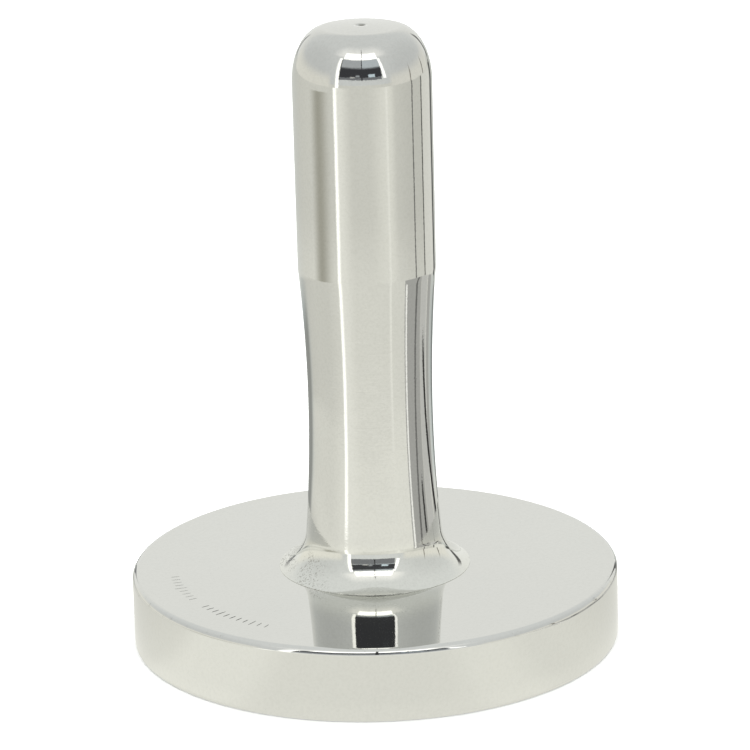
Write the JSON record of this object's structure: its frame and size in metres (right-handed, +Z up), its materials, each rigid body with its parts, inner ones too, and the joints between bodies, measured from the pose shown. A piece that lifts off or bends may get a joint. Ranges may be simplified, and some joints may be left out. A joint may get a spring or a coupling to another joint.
{
  "type": "espresso tamper",
  "caption": "Polished stainless steel espresso tamper: a flat round plate with a softly rounded rim and a slim turned handle with a waist, screwed together on a hidden threaded stud.",
  "frame": {"origin": "centre of the flat tamping face, on the surface that the tamper stands on", "axes": "+Z up along the common axis of plate, stud and handle; X and Y are free, because the shape is turned"},
  "size_m": [0.058, 0.058, 0.0742],
  "materials": {
    "plate_steel": null,
    "handle_steel": "mirror-polished stainless steel, turned, with faint polishing residue in the flare",
    "stud_steel": "plain machined steel thread"
  },
  "bodies": {
    "plate": {"base_plate": "plate_steel"},
    "stud": {"joining_stud": "stud_steel"},
    "handle": {"handle": "handle_steel"}
  },
  "joints": [
    {"name": "stud_rise", "type": "slide", "parent": "plate", "child": "stud", "axis": [0, 0, 1], "range_m": [0, 0.00625]},
    {"name": "handle_turn", "type": "hinge", "parent": "stud", "child": "handle", "pos_m": [0, 0, 0.00875], "axis": [0, 0, 1], "range_deg": [0, 1800]}
  ],
  "couplings": [
    {"joint": "handle_turn", "follows": "stud_rise", "rad_per_m": 5026.5}
  ]
}
